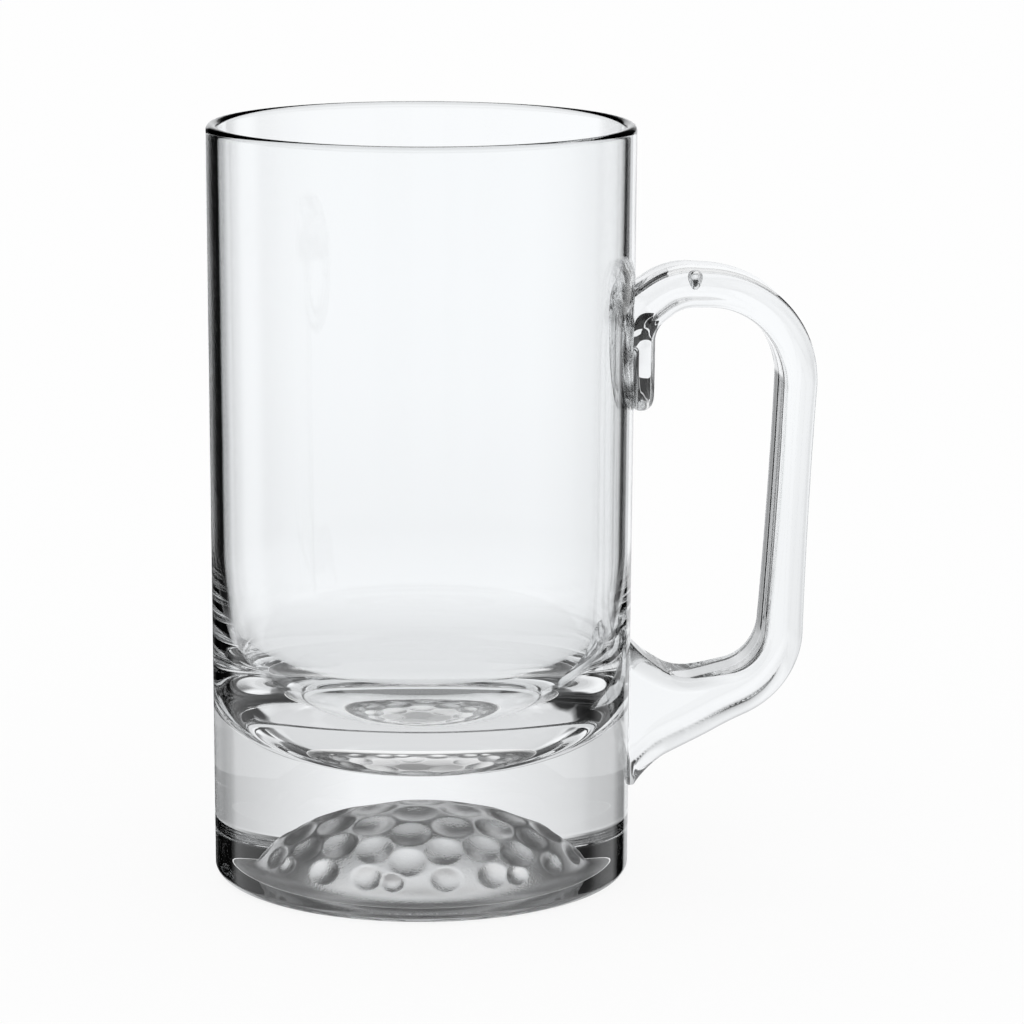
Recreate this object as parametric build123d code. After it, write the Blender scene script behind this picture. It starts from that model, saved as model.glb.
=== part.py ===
from build123d import *
import os
from math import asin, atan2, degrees, exp, hypot, radians, sin, sqrt

# Handmade clear glass beer mug, with a dimpled hollow like part of a ball pressed into its thick base.
# Millimetres, +Z up. Z is the axis of the mug, the foot stands on z = 0 and the handle points to +X.

# Outside of the body
mug_height = 150.0
rim_radius = 42.1
foot_radius = 41.5
heel_radius = 2.0

# Inside of the body
rim_wall = 2.3
low_wall = 2.2
wall_bend_z = 66.0
wall_bend_radius = 155.0
floor_height = 23.5
floor_bowl_radius = 85.0
floor_corner_radius = 28.0

# Ball-shaped hollow under the base, with a skirt that rounds into the foot ring
hollow_radius = 22.3
hollow_height = 17.3
skirt_radius = 3.5

# Dimples of the hollow: a honeycomb of rings around the pole, then one row above the skirt
dimple_width = 6.2
dimple_depth = 0.95
dimple_pitch_angle = 18.0
dimple_rings = 3
low_dimple_width = 5.2
low_dimple_spread_angle = 18.5
small_dimple_width = 3.9
small_dimple_turn_angle = -6.0
dimple_skirt_gap_angle = 0.3
dimple_turn_angle = -10.8
dimple_bite = 0.5

# Course of the handle's rod: heights of its two ends on the wall, and the corners of its four bends
root_z = 31.9
neck_x = 52.1
neck_z = 32.5
neck_radius = 30.0
low_bend_x = 71.7
low_bend_z = 39.1
low_bend_radius = 14.0
top_bend_x = 75.5
top_bend_z = 117.1
top_bend_radius = 19.0
arch_end_x = 49.5
arch_end_z = 118.2
arch_end_radius = 11.0
rod_end_z = 110.2
rod_bite = 3.0

# Section of the rod: thickness in the plane of the handle, depth across it
root_height = 30.6
root_depth = 18.0
root_corner = 6.0
root_flare_length = 7.0
neck_thickness = 10.8
grip_thickness = 6.7
arch_thickness = 7.2
rod_end_thickness = 8.3
rod_depth = 17.0
rod_inner_corner = 2.0
rod_outer_corner = 3.4
rod_stations = 28
rod_station_crowding = 1.2
grip_share = 0.55
arch_share = 0.77

# Pad that the upper end of the rod is pressed into
pad_z = 105.2
pad_height = 25.2
pad_depth = 18.6
pad_thickness = 4.1
pad_round = 3.4

wall_top = mug_height - rim_wall / 2
hollow_centre_z = hollow_height - hollow_radius
honeycomb_sector = 60.0


def outer_radius(z):
    """Radius of the body's slightly flared outside at height z."""
    return foot_radius + (rim_radius - foot_radius) * z / wall_top


def outer_meeting(first, first_radius, second, second_radius):
    """Of the two points where two circles cross, the one further from the axis."""
    run = second - first
    along = (run.length**2 + first_radius**2 - second_radius**2) / (2 * run.length)
    aside = sqrt(first_radius**2 - along**2)
    middle = first + run.normalized() * along
    step = Vector(-run.Y, run.X).normalized() * aside
    return max(middle + step, middle - step, key=lambda point: point.X)


def body_blank():
    """Wall, floor and base as one turned form, with the plain hollow under it."""
    mouth = (sqrt(hollow_radius**2 - hollow_centre_z**2), 0)
    heel = (foot_radius, 0)
    rim_outside = (rim_radius, wall_top)
    rim_crest = (rim_radius - rim_wall / 2, mug_height)
    rim_inside = Vector(rim_radius - rim_wall, wall_top)
    wall_bend = Vector(foot_radius - low_wall, wall_bend_z)
    down = (wall_bend - rim_inside).normalized()
    bend_centre = wall_bend + Vector(down.Y, -down.X) * wall_bend_radius
    bowl_centre = Vector(0, floor_height + floor_bowl_radius)
    corner = outer_meeting(bend_centre, wall_bend_radius, bowl_centre, floor_bowl_radius)
    floor = (0, floor_height)
    hollow_top = (0, hollow_height)
    section = make_face(
        [
            Line(mouth, heel),
            Line(heel, rim_outside),
            ThreePointArc(rim_outside, rim_crest, rim_inside),
            Line(rim_inside, wall_bend),
            RadiusArc(wall_bend, corner, wall_bend_radius),
            RadiusArc(corner, floor, floor_bowl_radius),
            Line(floor, hollow_top),
            RadiusArc(hollow_top, mouth, hollow_radius),
        ]
    )
    for place, radius in ((mouth, skirt_radius), (heel, heel_radius), (corner, floor_corner_radius)):
        section = fillet(section.vertices().sort_by_distance(place)[0], radius)
    return revolve(Plane.XZ * section, Axis.Z)


def dimple(width):
    """Lens of glass that makes one dimple, at the pole of a hollow centred on the origin."""
    rim_plane = sqrt(hollow_radius**2 - (width / 2) ** 2)
    cap = rim_plane - (hollow_radius - dimple_depth)
    ball_radius = ((width / 2) ** 2 + cap**2) / (2 * cap)
    ball = Pos(0, 0, hollow_radius - dimple_depth + ball_radius) * Sphere(ball_radius)
    return ball & Sphere(hollow_radius + dimple_bite)


def half_angle(width):
    """Angle at the hollow's centre from a dimple's middle to its rim."""
    return degrees(asin(width / 2 / hollow_radius))


def dimple_places():
    """Polar angle, turn about Z and width of every dimple."""
    places = []
    for i in range(-dimple_rings, dimple_rings + 1):
        for j in range(-dimple_rings, dimple_rings + 1):
            if abs(i + j) <= dimple_rings:
                across = i + j / 2
                along = j * sin(radians(honeycomb_sector))
                polar = dimple_pitch_angle * hypot(across, along)
                places.append((polar, degrees(atan2(along, across)), dimple_width))
    skirt_rise = skirt_radius - hollow_centre_z
    skirt_reach = sqrt((hollow_radius + skirt_radius) ** 2 - skirt_rise**2)
    lowest = degrees(atan2(skirt_reach, skirt_rise)) - dimple_skirt_gap_angle
    for sector in range(round(360 / honeycomb_sector)):
        middle = sector * honeycomb_sector
        small_turn = middle + small_dimple_turn_angle
        places.append((lowest - half_angle(small_dimple_width), small_turn, small_dimple_width))
        for side in (-low_dimple_spread_angle, low_dimple_spread_angle):
            places.append((lowest - half_angle(low_dimple_width), middle + side, low_dimple_width))
    return places


def make_body():
    lenses = {width: dimple(width) for width in (dimple_width, low_dimple_width, small_dimple_width)}
    turn_to_front = dimple_turn_angle - 90
    centre = Pos(0, 0, hollow_centre_z)
    dimples = [
        centre * Rot(0, 0, turn_to_front + turn) * Rot(0, polar, 0) * lenses[width]
        for polar, turn, width in dimple_places()
    ]
    return body_blank() + dimples


def rod_path():
    """Centre line of the rod, from inside the wall at the root to inside the wall behind the pad."""
    return FilletPolyline(
        (outer_radius(root_z) - rod_bite, 0, root_z),
        (neck_x, 0, neck_z),
        (low_bend_x, 0, low_bend_z),
        (top_bend_x, 0, top_bend_z),
        (arch_end_x, 0, arch_end_z),
        (outer_radius(rod_end_z) - rod_bite, 0, rod_end_z),
        radius=[neck_radius, low_bend_radius, top_bend_radius, arch_end_radius],
    )


def blend(start, end, share):
    """Smooth passage from start to end while share goes from 0 to 1."""
    share = min(max(share, 0.0), 1.0)
    return start + (end - start) * share * share * (3 - 2 * share)


def rod_thickness(share):
    """The drawn rod thins from its neck to the grip, and thickens again over the arch towards its end."""
    if share < grip_share:
        return grip_thickness + (neck_thickness - grip_thickness) * (1 - share / grip_share) ** 2
    if share < arch_share:
        return blend(grip_thickness, arch_thickness, (share - grip_share) / (arch_share - grip_share))
    return blend(arch_thickness, rod_end_thickness, (share - arch_share) / (1 - arch_share))


def rod_section(path, share):
    """Section across the rod: a rounded rectangle, with tighter corners towards the fingers."""
    past_wall = max(share * path.length - rod_bite, 0)
    flare = exp(-past_wall / root_flare_length)
    thickness = rod_thickness(share) + (root_height - neck_thickness) * flare
    half_depth = (rod_depth + (root_depth - rod_depth) * flare) / 2
    inner_corner = rod_inner_corner + (root_corner - rod_inner_corner) * flare
    outer_corner = rod_outer_corner + (root_corner - rod_outer_corner) * flare
    inside = thickness / 2
    inner_flat = half_depth - inner_corner
    inner_shoulder = inside - inner_corner
    outer_flat = half_depth - outer_corner
    outer_shoulder = outer_corner - inside
    outline = [
        Line((inner_flat, inside), (-inner_flat, inside)),
        CenterArc((-inner_flat, inner_shoulder), inner_corner, 90, 90),
        Line((-half_depth, inner_shoulder), (-half_depth, outer_shoulder)),
        CenterArc((-outer_flat, outer_shoulder), outer_corner, 180, 90),
        Line((-outer_flat, -inside), (outer_flat, -inside)),
        CenterArc((outer_flat, outer_shoulder), outer_corner, 270, 90),
        Line((half_depth, outer_shoulder), (half_depth, inner_shoulder)),
        CenterArc((inner_flat, inner_shoulder), inner_corner, 0, 90),
    ]
    across = Plane(path @ share, x_dir=(0, 1, 0), z_dir=path % share)
    return across * make_face(outline)


def wall_form(offset):
    """Solid form of the body's outside, made larger by offset all round."""
    standing = (Align.CENTER, Align.CENTER, Align.MIN)
    return Cone(foot_radius + offset, rim_radius + offset, wall_top, align=standing)


def make_pad():
    """Oval pad that wraps the wall, before the wall is cut out of it."""
    oval = Plane.YZ * Pos(0, pad_z) * Ellipse(pad_depth / 2, pad_height / 2)
    pad = extrude(oval, 2 * rim_radius) & wall_form(pad_thickness)
    return fillet(pad.edges().sort_by(Axis.X)[-1], pad_round)


def make_handle():
    path = rod_path()
    shares = [(station / rod_stations) ** rod_station_crowding for station in range(rod_stations + 1)]
    rod = loft([rod_section(path, share) for share in shares])
    return rod + make_pad() - wall_form(0)


os.makedirs("parts", exist_ok=True)
for name, shape in (("mug_body", make_body()), ("handle", make_handle())):
    export_step(shape, f"parts/{name}.step")
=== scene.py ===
import math

import bpy
import numpy as np
from mathutils import Matrix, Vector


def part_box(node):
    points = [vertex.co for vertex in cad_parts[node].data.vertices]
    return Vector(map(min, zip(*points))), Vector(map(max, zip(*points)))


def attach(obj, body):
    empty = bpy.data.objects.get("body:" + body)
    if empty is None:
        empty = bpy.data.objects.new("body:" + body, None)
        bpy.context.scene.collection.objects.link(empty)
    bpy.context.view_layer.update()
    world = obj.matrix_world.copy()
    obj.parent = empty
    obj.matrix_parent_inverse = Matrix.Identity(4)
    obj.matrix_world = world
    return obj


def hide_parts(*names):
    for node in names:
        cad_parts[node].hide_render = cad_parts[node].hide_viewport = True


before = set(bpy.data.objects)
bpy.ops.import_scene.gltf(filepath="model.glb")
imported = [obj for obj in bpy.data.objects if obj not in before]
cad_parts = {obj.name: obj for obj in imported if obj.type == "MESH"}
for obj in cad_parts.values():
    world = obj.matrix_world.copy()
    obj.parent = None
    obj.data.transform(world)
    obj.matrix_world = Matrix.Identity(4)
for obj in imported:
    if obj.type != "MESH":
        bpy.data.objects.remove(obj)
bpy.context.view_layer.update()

# Handmade clear glass beer mug with a frosted ball-shaped hollow pressed into its base.
# Sizes and places are millimetres in the frame of the solids, and angles are degrees.
# MM turns millimetres into metres.
MM = 0.001

# Outside and inside of the body, as in the solids
MUG_HEIGHT = 150.0
RIM_RADIUS = 42.1
FOOT_RADIUS = 41.5
HEEL_RADIUS = 2.0
RIM_WALL = 2.3
LOW_WALL = 2.2
FLOOR_HEIGHT = 23.5
BOWL_RADIUS = 85.0
CORNER_RADIUS = 28.0
WALL_BEND_RADIUS = 155.0
WALL_BEND_Z = 66.0
WALL_TOP = MUG_HEIGHT - RIM_WALL / 2

# Hollow under the base and its dimples, with an ease that rounds the edges of the dimples
HOLLOW_RADIUS = 22.3
HOLLOW_HEIGHT = 17.3
SKIRT_RADIUS = 3.5
HOLLOW_Z = HOLLOW_HEIGHT - HOLLOW_RADIUS
DIMPLE_WIDTH = 6.2
DIMPLE_DEPTH = 0.95
DIMPLE_PITCH = 18.0
DIMPLE_RINGS = 3
LOW_DIMPLE_WIDTH = 5.2
LOW_DIMPLE_SPREAD = 18.5
SMALL_DIMPLE_WIDTH = 3.9
SMALL_DIMPLE_TURN = -6.0
DIMPLE_SKIRT_GAP = 0.3
DIMPLE_TURN = -10.8
DIMPLE_EASE = 0.09
SECTOR = 60.0

# Course of the handle's rod: its ends on the wall, and x, z and radius of its bends
ROOT_Z = 31.9
ROD_END_Z = 110.2
ROD_BITE = 3.0
BENDS = ((52.1, 32.5, 30.0), (71.7, 39.1, 14.0), (75.5, 117.1, 19.0), (49.5, 118.2, 11.0))

# Section of the rod
ROOT_HEIGHT = 30.6
ROOT_DEPTH = 18.0
ROOT_CORNER = 6.0
ROOT_FLARE = 7.0
NECK_THICKNESS = 10.8
GRIP_THICKNESS = 6.7
ARCH_THICKNESS = 7.2
ROD_END_THICKNESS = 8.3
ROD_DEPTH = 17.0
ROD_INNER_CORNER = 2.0
ROD_OUTER_CORNER = 3.4
GRIP_SHARE = 0.55
ARCH_SHARE = 0.77

# Pad at the rod's upper end, rounded on both sides, with a pressed oval groove
PAD_Z = 105.2
PAD_HEIGHT = 25.2
PAD_DEPTH = 18.6
PAD_THICKNESS = 4.1
PAD_ROUND = 2.4
PAD_SEAT = 0.8
PAD_GROOVE_INSET = 3.6
PAD_GROOVE_WIDTH = 0.9
PAD_GROOVE_DEPTH = 0.6

# Run of glass between rod and pad, and how far the handle reaches into the wall
FUSE_EASE = 2.0
FUSE_OVERLAP = 0.7

# Closed tear of air in the arch of the handle, broad at its top
BUBBLE_AT = (53.4, -5.0, 119.0)
BUBBLE_SIZE = (1.85, 1.5, 1.45)
BUBBLE_MIDDLE = 0.72
BUBBLE_TAPER = 0.28

# Fineness of the meshes
TURNS = 320
HOLLOW_RINGS = 120
SKIRT_RINGS = 14
FOOT_RINGS = 8
HEEL_RINGS = 12
WALL_RINGS = 24
RIM_RINGS = 20
INSIDE_RINGS = 20
BEND_RINGS = 24
BUBBLE_RINGS = 16
BUBBLE_SIDES = 24
NET_STEP = 0.5
NET_MARGIN = 2.2
NET_PASSES = 4
LEAST_SLOPE = 0.05
GRADIENT_STEP = 0.02

# Soda-lime glass: faint handmade waviness, and a fine grain where it is frosted
GLASS_COLOUR = (0.985, 0.992, 0.995, 1)
GLASS_IOR = 1.52
WAVE_HEIGHT = 1.0
WAVE_DETAIL = 1.0
GRAIN_HEIGHT = 0.2
GRAIN_DETAIL = 4.0
CLEAR_GLASS = {"roughness": 0.0, "wave": (45.0, 0.02)}
FROSTED_GLASS = {"roughness": 0.4, "wave": (60.0, 0.02), "grain": (2500.0, 0.3)}
HANDLE_GLASS = {"roughness": 0.0, "wave": (60.0, 0.04)}

# Camera of the photograph: its place, its aim, and how far left of the middle the mug's axis shows
PICTURE_PIXELS = 1024
FOCAL_PIXELS = 4243
AXIS_PIXELS_LEFT = 90.4
CAMERA_AZIMUTH = -3.6
CAMERA_REACH = 826.0
CAMERA_HEIGHT = 239.4
CAMERA_PITCH = 11.417
CAMERA_CLIP = (10.0, 50000.0)
SENSOR_WIDTH = 36.0

# Studio round the mug, as the glass shows it, in stops of angle and brightness. Turns are counted
# clockwise from the way the photograph looks, heights from the horizon. PASSED is for rays that only
# passed through glass, MIRROR for rays that glass has reflected on their way. The white sweep lies
# straight behind the mug, between dark flags.
PASSED = {
    "table": (
        (-180, 1.0), (-164, 1.0), (-158, 0.35), (-146, 0.35), (-140, 0.85), (-130, 0.85), (-124, 0.35),
        (-112, 0.35), (-106, 1.0), (-80, 1.0), (-72, 0.5), (-50, 0.58), (-40, 0.75), (-24, 0.83), (-18, 0.87),
        (-12, 0.92), (-5, 0.98), (12, 1.0), (16, 0.94), (22, 0.86), (32, 0.76), (50, 0.62), (66, 0.5),
        (82, 1.0), (106, 1.0), (112, 0.35), (124, 0.35), (130, 0.85), (146, 0.35), (160, 0.35), (166, 1.0),
    ),
    "sky": (
        (-180, 1.0), (-164, 1.0), (-150, 0.2), (-130, 0.2), (-106, 1.0), (-80, 1.0), (-60, 0.2), (-42, 0.3),
        (-34, 0.6), (-26, 0.95), (15, 1.0), (20, 0.4), (25, 0.02), (32, 0.1), (42, 0.35), (60, 0.7),
        (80, 1.0), (106, 1.0), (130, 0.2), (150, 0.2), (164, 1.0),
    ),
    "fall": ((-90, 1.0), (10, 1.0), (17, 0.82), (24, 0.68), (32, 0.52), (45, 0.4), (90, 0.3)),
    "near": (0.84, -30, -18),
    "horizon": (-2, 2),
}
MIRROR = {
    "table": (
        (-180, 0.8), (-120, 0.82), (-66, 0.88), (-58, 0.92), (-52, 0.6), (-46, 0.24), (-40, 0.1), (-36, 0.3),
        (-32, 0.02), (-26, 0.02), (-23, 0.2), (-18, 0.5), (-15.5, 0.1), (-12.5, 0.1), (-10, 0.9), (0, 0.9),
        (6, 1.0), (12, 0.76), (18, 0.9), (22, 0.95), (25, 0.75), (27.5, 0.3), (30, 0.02), (33, 0.02),
        (36, 0.2), (41, 0.55), (48, 0.8), (60, 0.9), (75, 0.5), (90, 0.64), (120, 0.78), (180, 0.8),
    ),
    "sky": (
        (-180, 0.0), (-26, 0.0), (-21, 0.06), (-16, 0.7), (-11, 1.0), (6, 0.96), (12, 0.68), (18, 0.58),
        (22, 0.36), (27, 0.12), (33, 0.22), (40, 0.13), (48, 0.0), (180, 0.0),
    ),
    "fall": ((-90, 1.0), (6, 1.0), (10, 0.85), (16, 0.6), (22, 0.4), (30, 0.14), (42, 0.02), (90, 0.02)),
    "near": (0.73, -26, -15),
    "horizon": (-3, 1),
}

# Soft shade where the white sweep rises from the table, as it shows through the wall
SWEEP_SHADE = (
    (-90, 1.0), (-18, 1.0), (-14, 0.96), (-12.6, 0.937), (-11.3, 0.947), (-9.9, 0.985), (-8.5, 1.0),
    (90, 1.0),
)

# Large soft light in front of the mug and above the camera, which only the mirror images show
SOFT_LIGHT = 0.58
SOFT_LIGHT_TURN = ((-180, 1.0), (-110, 1.0), (-95, 0.0), (95, 0.0), (110, 1.0), (180, 1.0))
SOFT_LIGHT_HEIGHT = ((-90, 0.0), (22, 0.0), (28, 1.0), (45, 1.0), (52, 0.0), (90, 0.0))

# Steeper passage between the dark flags and the white surfaces in the mirror images
MIRROR_CONTRAST = ((0.0, 0.0), (0.4, 0.02), (0.6, 0.3), (0.75, 0.82), (0.88, 1.0), (1.0, 1.0))

# Cool cast of the studio, as the glass shows it
GLASS_TINT = (0.988, 0.998, 1.01)

# White table just under the foot, and its own glow for the camera, which leaves a faint shadow
TABLE_HALF = 12000.0
TABLE_Z = -0.2
TABLE_COLOUR = (0.92, 0.92, 0.92, 1)
TABLE_GLOW = 0.88

# Painted shade on the table in the mouth of the hollow, where the mug blocks the light: a grey disc, its
# brightness by share of its radius
SHADE_RADIUS = 24.5
SHADE_SIDES = 64
SHADE_LEVELS = ((0.0, 0.2), (0.35, 0.36), (0.6, 0.75), (0.8, 1.0), (1.0, 1.0))

# White card that faces down over the handle's arch, which only the glass of the handle shows
ARCH_CARD = ((44.0, 60.0, 140.0), (130.0, 60.0, 140.0), (130.0, -60.0, 140.0), (44.0, -60.0, 140.0))
WHITE_CARD = 0.95

# Dark cards behind the handle's grip and pad, seen in the same way: x and z of their corners
DARK_CARDS = {
    "card_grip": ((84.5, 38.0), (92.0, 38.0), (95.5, 112.0), (88.0, 112.0)),
    "card_pad": ((35.5, 93.0), (39.8, 93.0), (39.8, 113.0), (35.5, 113.0)),
    "card_pad_top": ((40.2, 102.8), (44.0, 102.8), (44.0, 113.0), (40.2, 113.0)),
    "card_pad_foot": ((40.2, 93.0), (44.0, 93.0), (44.0, 100.0), (40.2, 100.0)),
}
DARK_CARD_Y = 25.0
DARK_CARD = 0.02
HANDLE_SURFACES = 2

# Depths of a ray are whole numbers, so they are compared with a number half a step higher
HALF_STEP = 0.5

# Inputs of a mix node that take its share and its two numbers
MIX_INPUTS = (0, 2, 3)

# Bounces that light needs to come through all the surfaces of the glass
BOUNCES = 32
MIRROR_BOUNCES = 24

scene = bpy.context.scene


def outer_radius(z):
    """Radius of the body's slightly flared outside at height z."""
    return FOOT_RADIUS + (RIM_RADIUS - FOOT_RADIUS) * z / WALL_TOP


def arc_points(centre, radius, start, end, count):
    """Points of an arc in the (r, z) plane, angles from the r axis, the first point left out."""
    angles = np.radians(np.linspace(start, end, count + 1)[1:])
    return np.stack([centre[0] + radius * np.cos(angles), centre[1] + radius * np.sin(angles)], axis=1)


def run_points(start, end, count):
    """Points of a straight run in the (r, z) plane, closer together at its ends, the first point left out."""
    share = (1 - np.cos(np.linspace(0, math.pi, count + 1)[1:])) / 2
    return np.outer(1 - share, start) + np.outer(share, end)


def angle_of(step):
    """Angle from the r axis of a step in the (r, z) plane."""
    return math.degrees(math.atan2(step[1], step[0]))


def skirt_polar():
    """Polar angle at which the ball of the hollow meets its skirt."""
    rise = SKIRT_RADIUS - HOLLOW_Z
    return math.degrees(math.acos(rise / (HOLLOW_RADIUS + SKIRT_RADIUS)))


def dimple_places():
    """Polar angle, turn and width of every dimple: a honeycomb round the pole, then a row above the skirt."""
    places = []
    for i in range(-DIMPLE_RINGS, DIMPLE_RINGS + 1):
        for j in range(-DIMPLE_RINGS, DIMPLE_RINGS + 1):
            if abs(i + j) <= DIMPLE_RINGS:
                across = i + j / 2
                along = j * math.sin(math.radians(SECTOR))
                turn = math.degrees(math.atan2(along, across))
                places.append((DIMPLE_PITCH * math.hypot(across, along), turn, DIMPLE_WIDTH))
    lowest = skirt_polar() - DIMPLE_SKIRT_GAP
    for sector in range(round(360 / SECTOR)):
        middle = sector * SECTOR
        for width, turn in (
            (SMALL_DIMPLE_WIDTH, middle + SMALL_DIMPLE_TURN),
            (LOW_DIMPLE_WIDTH, middle - LOW_DIMPLE_SPREAD),
            (LOW_DIMPLE_WIDTH, middle + LOW_DIMPLE_SPREAD),
        ):
            half_angle = math.degrees(math.asin(width / 2 / HOLLOW_RADIUS))
            places.append((lowest - half_angle, turn, width))
    return places


def dimple_balls():
    """Direction, distance and radius of the ball that presses each dimple, from the hollow's centre."""
    balls = []
    for polar, turn, width in dimple_places():
        p = math.radians(polar)
        t = math.radians(DIMPLE_TURN - 90 + turn)
        cap = math.sqrt(HOLLOW_RADIUS**2 - (width / 2) ** 2) - (HOLLOW_RADIUS - DIMPLE_DEPTH)
        radius = ((width / 2) ** 2 + cap**2) / (2 * cap)
        direction = np.array((math.sin(p) * math.cos(t), math.sin(p) * math.sin(t), math.cos(p)))
        balls.append((direction, HOLLOW_RADIUS - DIMPLE_DEPTH + radius, radius))
    return balls


def dimpled_radius(directions):
    """Distance from the hollow's centre to its dimpled surface, along unit directions."""
    total = np.ones(len(directions))
    for direction, reach, radius in dimple_balls():
        cosine = directions @ direction
        room = radius**2 - reach**2 * (1 - cosine**2)
        hit = (room > 0) & (cosine > 0)
        distance = reach * cosine[hit] - np.sqrt(room[hit])
        total[hit] += np.exp((HOLLOW_RADIUS - distance) / DIMPLE_EASE)
    return HOLLOW_RADIUS - DIMPLE_EASE * np.log(total)


def hollow_rings(turn):
    """Rings of the dimpled ball, from its pole down to the skirt."""
    rings = []
    for polar in np.radians(np.linspace(0, skirt_polar(), HOLLOW_RINGS + 1)[1:]):
        flat = np.sin(polar)
        rise = np.full(TURNS, np.cos(polar))
        directions = np.stack([flat * np.cos(turn), flat * np.sin(turn), rise], axis=1)
        rings.append(directions * dimpled_radius(directions)[:, None] + (0, 0, HOLLOW_Z))
    return rings


def skirt_profile():
    """Skirt that rounds from the ball into the foot ring."""
    reach = (HOLLOW_RADIUS + SKIRT_RADIUS) * math.sin(math.radians(skirt_polar()))
    return arc_points((reach, SKIRT_RADIUS), SKIRT_RADIUS, 270 - skirt_polar(), 270, SKIRT_RINGS)


def outside_profile(start):
    """Foot ring, heel, outer wall and round rim."""
    slope = math.atan2(RIM_RADIUS - FOOT_RADIUS, WALL_TOP)
    heel_r = FOOT_RADIUS - HEEL_RADIUS / math.cos(slope) + HEEL_RADIUS * math.tan(slope)
    foot = run_points(start, (heel_r, 0), FOOT_RINGS)
    heel = arc_points((heel_r, HEEL_RADIUS), HEEL_RADIUS, 270, 360 - math.degrees(slope), HEEL_RINGS)
    wall = run_points(heel[-1], (RIM_RADIUS, WALL_TOP), WALL_RINGS)
    rim = arc_points((RIM_RADIUS - RIM_WALL / 2, WALL_TOP), RIM_WALL / 2, 0, 180, RIM_RINGS)
    return [foot, heel, wall, rim]


def meeting(first, first_reach, second, second_reach):
    """Outer one of the two points of the (r, z) plane at these distances from two centres."""
    apart = second - first
    gap = float(np.linalg.norm(apart))
    along = (gap**2 + first_reach**2 - second_reach**2) / (2 * gap)
    aside = math.sqrt(first_reach**2 - along**2)
    way = apart / gap
    both = [first + along * way + side * aside * np.array((-way[1], way[0])) for side in (-1, 1)]
    return max(both, key=lambda point: point[0])


def inside_profile():
    """Inner wall, its bend, the corner of the floor and the bowl of the floor, without its middle."""
    inside_top = np.array((RIM_RADIUS - RIM_WALL, WALL_TOP))
    wall_end = np.array((FOOT_RADIUS - LOW_WALL, WALL_BEND_Z))
    down = (wall_end - inside_top) / np.linalg.norm(wall_end - inside_top)
    bend_centre = wall_end + WALL_BEND_RADIUS * np.array((down[1], -down[0]))
    bowl_centre = np.array((0, FLOOR_HEIGHT + BOWL_RADIUS))
    corner_centre = meeting(
        bend_centre, WALL_BEND_RADIUS - CORNER_RADIUS, bowl_centre, BOWL_RADIUS - CORNER_RADIUS
    )
    bend_start = angle_of(wall_end - bend_centre)
    bend_end = angle_of(corner_centre - bend_centre)
    corner_end = angle_of(corner_centre - bowl_centre)
    wall = run_points(inside_top, wall_end, INSIDE_RINGS)
    bend = arc_points(bend_centre, WALL_BEND_RADIUS, bend_start, bend_end, BEND_RINGS)
    corner = arc_points(corner_centre, CORNER_RADIUS, bend_end, corner_end, BEND_RINGS)
    floor = arc_points(bowl_centre, BOWL_RADIUS, corner_end, -90, BEND_RINGS)
    return [wall, bend, corner, floor[:-1]]


def new_piece(name, points, faces, node, materials):
    """Smooth mesh object that rides on the body of the mug and stands for one solid."""
    mesh = bpy.data.meshes.new(name)
    mesh.from_pydata((np.asarray(points) * MM).tolist(), [], faces)
    mesh.polygons.foreach_set("use_smooth", [True] * len(mesh.polygons))
    piece = bpy.data.objects.new(name, mesh)
    scene.collection.objects.link(piece)
    for material in materials:
        mesh.materials.append(material)
    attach(piece, "root")
    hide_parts(node)
    return piece


def make_body(clear, frosted):
    """Closed skin of the body, ring by ring from the top of the hollow to the middle of the floor."""
    turn = np.linspace(0, 2 * math.pi, TURNS, endpoint=False)
    rings = hollow_rings(turn)
    skirt = skirt_profile()
    frosted_rings = len(rings) + len(skirt)
    for r, z in np.concatenate([skirt, *outside_profile(skirt[-1]), *inside_profile()]):
        rings.append(np.stack([r * np.cos(turn), r * np.sin(turn), np.full(TURNS, z)], axis=1))
    hollow_top = (0, 0, HOLLOW_Z + dimpled_radius(np.array([(0.0, 0.0, 1.0)]))[0])
    floor_middle = (0, 0, FLOOR_HEIGHT)
    points = np.concatenate([*rings, [hollow_top, floor_middle]])

    ring, step = np.meshgrid(np.arange(len(rings) - 1), np.arange(TURNS), indexing="ij")
    here = ring * TURNS + step
    beside = ring * TURNS + (step + 1) % TURNS
    quads = np.stack([beside, beside + TURNS, here + TURNS, here], axis=-1).reshape(-1, 4)
    faces = quads.tolist()
    top = len(rings) * TURNS
    middle = top + 1
    last_ring = top - TURNS
    for t in range(TURNS):
        after = (t + 1) % TURNS
        faces.append((top, after, t))
        faces.append((middle, last_ring + t, last_ring + after))

    piece = new_piece("mug_body_glass", points, faces, "mug_body", (clear, frosted))
    kinds = np.zeros(len(faces), dtype=np.int32)
    kinds[: (frosted_rings - 1) * TURNS] = 1
    kinds[len(quads)::2] = 1
    piece.data.polygons.foreach_set("material_index", kinds)


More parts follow.
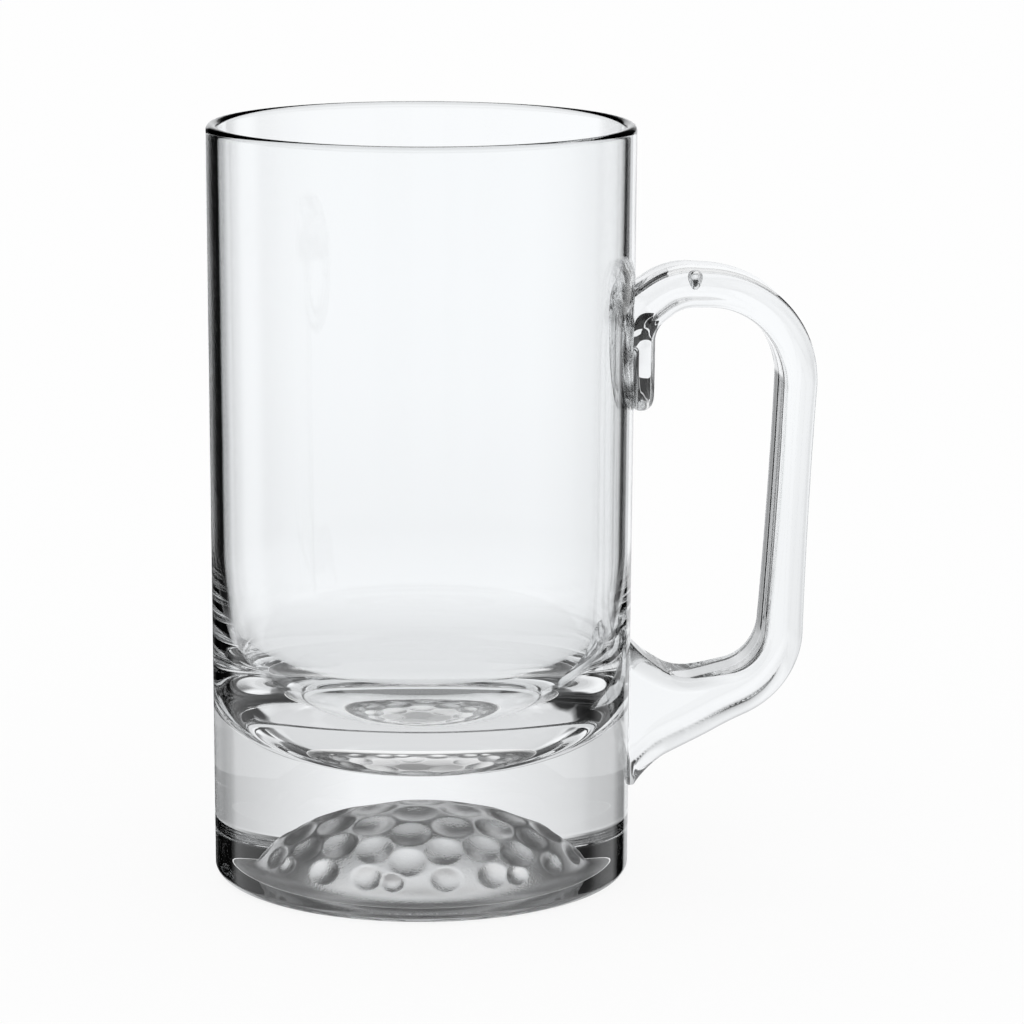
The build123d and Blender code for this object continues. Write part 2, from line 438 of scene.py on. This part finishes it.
def rod_runs():
    """Straight runs and arcs of the rod's centre line in the XZ plane, with the length before each."""
    corners = [np.array((outer_radius(ROOT_Z) - ROD_BITE, ROOT_Z))]
    corners += [np.array(bend[:2]) for bend in BENDS]
    corners += [np.array((outer_radius(ROD_END_Z) - ROD_BITE, ROD_END_Z))]
    runs = []
    done = 0.0
    start = corners[0]
    for k, bend in enumerate(BENDS):
        radius = bend[2]
        before = corners[k + 1] - corners[k]
        after = corners[k + 2] - corners[k + 1]
        before = before / np.linalg.norm(before)
        after = after / np.linalg.norm(after)
        angle = math.acos(float(before @ after))
        tangent = radius * math.tan(angle / 2)
        end = corners[k + 1] - tangent * before
        length = float(np.linalg.norm(end - start))
        runs.append(("line", start, before, length, done))
        done += length
        centre = end + radius * np.array((-before[1], before[0]))
        first = math.atan2(end[1] - centre[1], end[0] - centre[0])
        runs.append(("arc", centre, radius, first, angle, done))
        done += radius * angle
        start = corners[k + 1] + tangent * after
    length = float(np.linalg.norm(corners[-1] - start))
    runs.append(("line", start, (corners[-1] - start) / length, length, done))
    return runs, done + length


ROD_RUNS, ROD_LENGTH = rod_runs()


def along_rod(x, z):
    """Length along the rod's centre line and signed distance from it towards the fingers."""
    best = np.full(x.shape, np.inf)
    length = np.zeros(x.shape)
    offset = np.zeros(x.shape)
    for run in ROD_RUNS:
        if run[0] == "line":
            _, start, way, size, before = run
            at = np.clip((x - start[0]) * way[0] + (z - start[1]) * way[1], 0, size)
            gap = np.hypot(x - start[0] - at * way[0], z - start[1] - at * way[1])
            side = (z - start[1]) * way[0] - (x - start[0]) * way[1]
            where = before + at
        else:
            _, centre, radius, first, angle, before = run
            turn = np.arctan2(z - centre[1], x - centre[0]) - first
            turn = np.clip((turn + math.pi) % (2 * math.pi) - math.pi, 0, angle)
            near_x = radius * np.cos(first + turn)
            near_z = radius * np.sin(first + turn)
            gap = np.hypot(x - centre[0] - near_x, z - centre[1] - near_z)
            side = radius - np.hypot(x - centre[0], z - centre[1])
            where = before + radius * turn
        near = gap < best
        best = np.where(near, gap, best)
        length = np.where(near, where, length)
        offset = np.where(near, side, offset)
    return length, offset


def smooth_step(share):
    """Smooth passage from 0 to 1 while share goes from 0 to 1."""
    share = np.clip(share, 0, 1)
    return share * share * (3 - 2 * share)


def rod_thickness(share):
    """The drawn rod thins from its neck to the grip, and thickens again over the arch towards its end."""
    low = GRIP_THICKNESS + (NECK_THICKNESS - GRIP_THICKNESS) * np.clip(1 - share / GRIP_SHARE, 0, 1) ** 2
    over_arch = smooth_step((share - GRIP_SHARE) / (ARCH_SHARE - GRIP_SHARE))
    to_end = smooth_step((share - ARCH_SHARE) / (1 - ARCH_SHARE))
    arch_gain = (ARCH_THICKNESS - GRIP_THICKNESS) * over_arch
    end_gain = (ROD_END_THICKNESS - ARCH_THICKNESS) * to_end
    return low + arch_gain + end_gain


def rod_distance(x, y, z):
    """Negative inside the rod: a rounded rectangle, with tighter corners towards the fingers."""
    length, offset = along_rod(x, z)
    flare = np.exp(-np.maximum(length - ROD_BITE, 0) / ROOT_FLARE)
    thickness = rod_thickness(length / ROD_LENGTH) + (ROOT_HEIGHT - NECK_THICKNESS) * flare
    half_depth = (ROD_DEPTH + (ROOT_DEPTH - ROD_DEPTH) * flare) / 2
    corner = np.where(offset >= 0, ROD_INNER_CORNER, ROD_OUTER_CORNER)
    corner = corner + (ROOT_CORNER - corner) * flare
    across = np.abs(y) - half_depth + corner
    through = np.abs(offset) - thickness / 2 + corner
    outside = np.hypot(np.maximum(across, 0), np.maximum(through, 0))
    return outside + np.minimum(np.maximum(across, through), 0) - corner


def oval_distance(u, v, half_u, half_v):
    """Distance from an oval, near its edge, negative inside it."""
    size = np.sqrt((u / half_u) ** 2 + (v / half_v) ** 2)
    slope = np.sqrt((u / half_u**2) ** 2 + (v / half_v**2) ** 2)
    return size * (size - 1) / np.maximum(slope, 1e-9)


def pad_distance(x, y, z):
    """Negative inside the pad, a rounded oval that wraps the wall."""
    oval = oval_distance(y, z - PAD_Z, PAD_DEPTH / 2, PAD_HEIGHT / 2)
    groove = PAD_GROOVE_DEPTH * np.exp(-(((oval + PAD_GROOVE_INSET) / PAD_GROOVE_WIDTH) ** 2))
    off_wall = np.hypot(x, y) - outer_radius(z)
    middle = (PAD_THICKNESS - PAD_SEAT) / 2
    skin = np.abs(off_wall - middle) - (PAD_THICKNESS + PAD_SEAT) / 2 + groove
    past_edge = np.maximum(oval + PAD_ROUND, 0)
    past_skin = np.maximum(skin + PAD_ROUND, 0)
    return np.minimum(np.maximum(oval, skin), -PAD_ROUND) + np.hypot(past_edge, past_skin)


def smooth_union(a, b, ease):
    """Both forms, run together over the length of ease."""
    h = np.maximum(ease - np.abs(a - b), 0) / ease
    return np.minimum(a, b) - h * h * ease / 4


def handle_distance(p):
    """Negative inside the handle: rod and pad run together, cut just inside the wall."""
    x, y, z = p[:, 0], p[:, 1], p[:, 2]
    both = smooth_union(rod_distance(x, y, z), pad_distance(x, y, z), FUSE_EASE)
    return np.maximum(both, outer_radius(z) - FUSE_OVERLAP - np.hypot(x, y))


def gradient(field, p):
    """Slope of a field at each point."""
    slope = np.zeros_like(p)
    for axis in range(3):
        shift = np.zeros(3)
        shift[axis] = GRADIENT_STEP
        slope[:, axis] = (field(p + shift) - field(p - shift)) / (2 * GRADIENT_STEP)
    return slope


def next_to(axis):
    """Slices that pick each grid point and its neighbour along an axis."""
    lower = [slice(None)] * 3
    upper = [slice(None)] * 3
    lower[axis] = slice(0, -1)
    upper[axis] = slice(1, None)
    return tuple(lower), tuple(upper)


def net_points(grid, value, cells, step):
    """Middle of the zero crossings on the edges of each cell, and which cells have any."""
    total = np.zeros(cells + (3,))
    crossings = np.zeros(cells)
    for axis in range(3):
        lower, upper = next_to(axis)
        a, b = value[lower], value[upper]
        cross = (a < 0) != (b < 0)
        share = np.where(cross, a / np.where(cross, a - b, 1), 0)
        place = grid[lower].copy()
        place[..., axis] += share * step
        place *= cross[..., None]
        u, v = [k for k in range(3) if k != axis]
        for first in (0, 1):
            for second in (0, 1):
                pick = [slice(None)] * 3
                pick[u] = slice(first, first + cells[u])
                pick[v] = slice(second, second + cells[v])
                total += place[tuple(pick)]
                crossings += cross[tuple(pick)]
    used = crossings > 0
    return total[used] / crossings[used][:, None], used


def net_faces(inside, number):
    """One quad for each grid edge that the surface crosses, facing outwards."""
    faces = []
    steps = np.eye(3, dtype=int)
    for axis in range(3):
        lower, upper = next_to(axis)
        start = inside[lower]
        where = np.argwhere(start != inside[upper])
        u = steps[(axis + 1) % 3]
        v = steps[(axis + 2) % 3]
        quad = np.stack([number[tuple((where - back).T)] for back in (0 * u, u, u + v, v)], axis=1)
        out = start[tuple(where.T)]
        faces += quad[out].tolist() + quad[~out][:, ::-1].tolist()
    return faces


def surface_net(field, low, high, step):
    """Closed quad mesh of the zero level of a field, its points moved onto the level."""
    axes = [np.arange(low[a], high[a] + step, step) for a in range(3)]
    shape = tuple(len(a) for a in axes)
    grid = np.stack(np.meshgrid(*axes, indexing="ij"), axis=-1)
    value = field(grid.reshape(-1, 3)).reshape(shape)
    cells = tuple(n - 1 for n in shape)
    points, used = net_points(grid, value, cells, step)
    number = np.full(cells, -1)
    number[used] = np.arange(used.sum())
    faces = net_faces(value < 0, number)
    for _ in range(NET_PASSES):
        slope = gradient(field, points)
        steepness = np.maximum((slope**2).sum(axis=1), LEAST_SLOPE)
        move = field(points)[:, None] * slope / steepness[:, None]
        points = points - np.clip(move, -step / 2, step / 2)
    return points, faces


def bubble():
    """Tear-shaped closed skin that faces into the air it holds."""
    points = [(0, 0, 1.0)]
    for ring in range(1, BUBBLE_RINGS):
        polar = math.pi * ring / BUBBLE_RINGS
        width = math.sin(polar) * (BUBBLE_MIDDLE + BUBBLE_TAPER * math.cos(polar))
        for side in range(BUBBLE_SIDES):
            turn = 2 * math.pi * side / BUBBLE_SIDES
            points.append((width * math.cos(turn), width * math.sin(turn), math.cos(polar)))
    points.append((0, 0, -1.0))
    faces = []
    last = 1 + (BUBBLE_RINGS - 2) * BUBBLE_SIDES
    for side in range(BUBBLE_SIDES):
        after = (side + 1) % BUBBLE_SIDES
        faces.append((0, 1 + after, 1 + side))
        faces.append((len(points) - 1, last + side, last + after))
        for ring in range(BUBBLE_RINGS - 2):
            here = 1 + ring * BUBBLE_SIDES
            below = here + BUBBLE_SIDES
            faces.append((here + side, here + after, below + after, below + side))
    return np.array(points) * BUBBLE_SIZE + BUBBLE_AT, faces


def make_handle(clear):
    """Rod and pad as one skin, with the tear of air inside it."""
    low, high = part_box("handle")
    low = np.array(low) / MM - NET_MARGIN
    high = np.array(high) / MM + NET_MARGIN
    points, faces = surface_net(handle_distance, low, high, NET_STEP)
    normals = gradient(handle_distance, points)
    normals /= np.linalg.norm(normals, axis=1)[:, None]
    count = len(points)
    bubble_points, bubble_faces = bubble()
    faces += [[count + i for i in face] for face in bubble_faces]
    points = np.concatenate([points, bubble_points])
    piece = new_piece("handle_glass", points, faces, "handle", (clear,))
    own_normals = np.zeros(3 * len(points))
    piece.data.vertex_normals.foreach_get("vector", own_normals)
    normals = np.concatenate([normals, own_normals.reshape(-1, 3)[count:]])
    piece.data.normals_split_custom_set_from_vertices(normals.tolist())


class Graph:
    """Shader nodes of one material or of the world, with short ways to add and join them."""

    def __init__(self, owner):
        owner.use_nodes = True
        self.nodes = owner.node_tree.nodes
        self.links = owner.node_tree.links
        self.nodes.clear()

    def feed(self, socket, value):
        """Set a socket to a number, or join it to the output of another node."""
        if isinstance(value, (int, float)):
            socket.default_value = value
        else:
            self.links.new(value, socket)

    def math(self, operation, first, second=0):
        node = self.nodes.new("ShaderNodeMath")
        node.operation = operation
        self.feed(node.inputs[0], first)
        self.feed(node.inputs[1], second)
        return node.outputs[0]

    def mix(self, share, first, second):
        """First number where share is 0, second where it is 1."""
        node = self.nodes.new("ShaderNodeMix")
        for index, value in zip(MIX_INPUTS, (share, first, second)):
            self.feed(node.inputs[index], value)
        return node.outputs[0]

    def mix_shaders(self, share, first, second):
        """First shader where share is 0, second where it is 1."""
        node = self.nodes.new("ShaderNodeMixShader")
        for socket, value in zip(node.inputs, (share, first, second)):
            self.feed(socket, value)
        return node.outputs[0]

    def ramp(self, share, first, last, stops):
        """Brightness through stops between a first and a last place; a ramp holds at most 32 stops."""
        node = self.nodes.new("ShaderNodeValToRGB")
        elements = node.color_ramp.elements
        while len(elements) < len(stops):
            elements.new(1.0)
        for element, (place, level) in zip(elements, stops):
            element.position = (place - first) / (last - first)
            element.color = (level, level, level, 1)
        self.feed(node.inputs["Fac"], share)
        return node.outputs["Color"]

    def by_turn(self, turn, stops):
        return self.ramp(turn, -180, 180, stops)

    def by_height(self, height, stops):
        return self.ramp(height, -90, 90, stops)

    def emission(self, colour):
        node = self.nodes.new("ShaderNodeEmission")
        node.inputs["Color"].default_value = colour
        return node.outputs[0]

    def bumps(self, place, texture, height, detail, below=None):
        """Normal of a surface with noise of a given scale and strength, over the normal below it."""
        scale, strength = texture
        noise = self.nodes.new("ShaderNodeTexNoise")
        noise.inputs["Scale"].default_value = scale
        noise.inputs["Detail"].default_value = detail
        self.feed(noise.inputs["Vector"], place)
        bump = self.nodes.new("ShaderNodeBump")
        bump.inputs["Strength"].default_value = strength
        bump.inputs["Distance"].default_value = height * MM
        self.feed(bump.inputs["Height"], noise.outputs["Fac"])
        if below is not None:
            self.feed(bump.inputs["Normal"], below)
        return bump.outputs["Normal"]

    def material_surface(self, shader):
        output = self.nodes.new("ShaderNodeOutputMaterial")
        self.feed(output.inputs["Surface"], shader)


def glass(name, roughness, wave, grain=None):
    """Soda-lime glass with a faint waviness, and with a fine grain where it is frosted."""
    material = bpy.data.materials.new(name)
    graph = Graph(material)
    shader = graph.nodes.new("ShaderNodeBsdfPrincipled")
    shader.inputs["Base Color"].default_value = GLASS_COLOUR
    shader.inputs["Transmission Weight"].default_value = 1.0
    shader.inputs["IOR"].default_value = GLASS_IOR
    shader.inputs["Roughness"].default_value = roughness
    place = graph.nodes.new("ShaderNodeTexCoord").outputs["Object"]
    normal = graph.bumps(place, wave, WAVE_HEIGHT, WAVE_DETAIL)
    if grain:
        normal = graph.bumps(place, grain, GRAIN_HEIGHT, GRAIN_DETAIL, normal)
    graph.feed(shader.inputs["Normal"], normal)
    graph.material_surface(shader.outputs["BSDF"])
    return material


def make_camera():
    """Camera at the photograph's place, aimed so that the mug shows where it does there."""
    data = bpy.data.cameras.new("camera")
    data.sensor_width = SENSOR_WIDTH
    data.lens = FOCAL_PIXELS / PICTURE_PIXELS * SENSOR_WIDTH
    data.clip_start, data.clip_end = (limit * MM for limit in CAMERA_CLIP)
    camera = bpy.data.objects.new("camera", data)
    scene.collection.objects.link(camera)
    azimuth = math.radians(CAMERA_AZIMUTH)
    pitch = math.radians(CAMERA_PITCH)
    swing = math.atan(AXIS_PIXELS_LEFT / FOCAL_PIXELS)
    reach = CAMERA_REACH * MM
    camera.location = (reach * math.sin(azimuth), -reach * math.cos(azimuth), CAMERA_HEIGHT * MM)
    aim = (
        Matrix.Rotation(azimuth, 4, "Z")
        @ Matrix.Rotation(math.pi / 2 - pitch, 4, "X")
        @ Matrix.Rotation(-swing, 4, "Y")
    )
    camera.rotation_euler = aim.to_euler()
    scene.camera = camera


def new_sheet(name, corners):
    """Flat sheet for the stage, and the nodes of its material."""
    mesh = bpy.data.meshes.new(name)
    mesh.from_pydata((np.asarray(corners) * MM).tolist(), [], [tuple(range(len(corners)))])
    sheet = bpy.data.objects.new(name, mesh)
    scene.collection.objects.link(sheet)
    material = bpy.data.materials.new(name)
    mesh.materials.append(material)
    return sheet, Graph(material)


def make_table():
    """White table that fills the picture and keeps a faint shadow. Glass shows the studio instead."""
    corners = [
        (-TABLE_HALF, -TABLE_HALF, TABLE_Z),
        (TABLE_HALF, -TABLE_HALF, TABLE_Z),
        (TABLE_HALF, TABLE_HALF, TABLE_Z),
        (-TABLE_HALF, TABLE_HALF, TABLE_Z),
    ]
    table, graph = new_sheet("table", corners)
    table.visible_glossy = False
    table.visible_transmission = False
    diffuse = graph.nodes.new("ShaderNodeBsdfDiffuse")
    diffuse.inputs["Color"].default_value = TABLE_COLOUR
    white = graph.emission((1, 1, 1, 1))
    path = graph.nodes.new("ShaderNodeLightPath").outputs
    glow = graph.math("MULTIPLY", path["Is Camera Ray"], TABLE_GLOW)
    graph.material_surface(graph.mix_shaders(glow, diffuse.outputs[0], white))


def make_table_shade():
    """Table in the mouth of the hollow, a glowing disc of painted shade where the mug stands in its own
    light. Only the glass shows it.
    """
    turns = np.linspace(0, 2 * math.pi, SHADE_SIDES, endpoint=False)
    ring = [(SHADE_RADIUS * math.cos(turn), SHADE_RADIUS * math.sin(turn), 0) for turn in turns]
    shade, graph = new_sheet("table_shade", ring)
    shade.visible_camera = False
    shade.visible_diffuse = False
    shade.visible_shadow = False
    place = graph.nodes.new("ShaderNodeTexCoord").outputs["Object"]
    reach = graph.nodes.new("ShaderNodeVectorMath")
    reach.operation = "LENGTH"
    graph.feed(reach.inputs[0], place)
    share = graph.math("DIVIDE", reach.outputs["Value"], SHADE_RADIUS * MM)
    grey = graph.nodes.new("ShaderNodeEmission")
    graph.feed(grey.inputs["Color"], graph.ramp(share, 0, 1, SHADE_LEVELS))
    graph.material_surface(grey.outputs[0])


def make_card(name, corners, level):
    """Card that shows its front only, and only to rays that passed no more surfaces than the handle's two."""
    card, graph = new_sheet(name, corners)
    card.visible_camera = False
    card.visible_glossy = False
    card.visible_diffuse = False
    card.visible_shadow = False
    path = graph.nodes.new("ShaderNodeLightPath").outputs
    side = graph.nodes.new("ShaderNodeNewGeometry").outputs
    beyond = graph.math("GREATER_THAN", path["Transmission Depth"], HANDLE_SURFACES + HALF_STEP)
    unseen = graph.math("MAXIMUM", beyond, side["Backfacing"])
    front = graph.emission((level, level, level, 1))
    nothing = graph.nodes.new("ShaderNodeBsdfTransparent").outputs[0]
    graph.material_surface(graph.mix_shaders(unseen, front, nothing))


def studio_side(graph, turn, height, side):
    """Brightness by direction: table near the mug, table further off, and what stands above it."""
    near_level, near_start, near_end = side["near"]
    near = graph.by_height(height, ((near_start, 1.0), (near_end, 0.0)))
    table = graph.mix(near, graph.by_turn(turn, side["table"]), near_level)
    sky = graph.math("MULTIPLY", graph.by_turn(turn, side["sky"]), graph.by_height(height, side["fall"]))
    start, end = side["horizon"]
    above = graph.by_height(height, ((start, 0.0), (end, 1.0)))
    return graph.mix(above, table, sky)


def ray_direction(graph):
    """Turn and height of a ray, as shares of a whole turn and of a half turn."""
    split = graph.nodes.new("ShaderNodeSeparateXYZ")
    graph.feed(split.inputs[0], graph.nodes.new("ShaderNodeTexCoord").outputs["Generated"])
    turn = graph.math("ARCTAN2", split.outputs["X"], split.outputs["Y"])
    turn = graph.math("ADD", turn, math.radians(CAMERA_AZIMUTH))
    turn = graph.math("MULTIPLY", turn, 1 / (2 * math.pi))
    turn = graph.math("FRACT", graph.math("ADD", turn, 1 / 2))
    height = graph.math("ARCSINE", split.outputs["Z"])
    height = graph.math("ADD", graph.math("MULTIPLY", height, 1 / math.pi), 1 / 2)
    return turn, height


def make_world():
    """White for the camera and the table; the glass sees the studio."""
    world = bpy.data.worlds.new("studio")
    scene.world = world
    graph = Graph(world)
    turn, height = ray_direction(graph)
    passed = studio_side(graph, turn, height, PASSED)
    passed = graph.math("MULTIPLY", passed, graph.by_height(height, SWEEP_SHADE))
    soft = graph.by_turn(turn, SOFT_LIGHT_TURN)
    soft = graph.math("MULTIPLY", soft, graph.by_height(height, SOFT_LIGHT_HEIGHT))
    soft = graph.math("MULTIPLY", soft, SOFT_LIGHT)
    mirror = graph.math("ADD", studio_side(graph, turn, height, MIRROR), soft)
    mirror = graph.ramp(mirror, 0, 1, MIRROR_CONTRAST)
    path = graph.nodes.new("ShaderNodeLightPath").outputs
    reflected = graph.math("GREATER_THAN", path["Glossy Depth"], HALF_STEP)
    seen = graph.mix(reflected, passed, mirror)
    by_glass = graph.math("MAXIMUM", path["Is Glossy Ray"], path["Is Transmission Ray"])
    tinted = graph.nodes.new("ShaderNodeCombineColor")
    for socket, share in zip(tinted.inputs, GLASS_TINT):
        graph.feed(socket, graph.mix(by_glass, 1.0, graph.math("MULTIPLY", seen, share)))
    light = graph.nodes.new("ShaderNodeBackground")
    graph.feed(light.inputs["Color"], tinted.outputs[0])
    output = graph.nodes.new("ShaderNodeOutputWorld")
    graph.feed(output.inputs["Surface"], light.outputs[0])


make_body(glass("clear_glass", **CLEAR_GLASS), glass("frosted_glass", **FROSTED_GLASS))
make_handle(glass("handle_glass", **HANDLE_GLASS))
make_camera()
make_table()
make_table_shade()
make_card("card_arch", ARCH_CARD, WHITE_CARD)
for card, places in DARK_CARDS.items():
    make_card(card, [(x, DARK_CARD_Y, z) for x, z in places], DARK_CARD)
make_world()

scene.view_settings.view_transform = "Standard"
scene.cycles.max_bounces = BOUNCES
scene.cycles.transmission_bounces = BOUNCES
scene.cycles.glossy_bounces = MIRROR_BOUNCES
scene.cycles.use_denoising = True
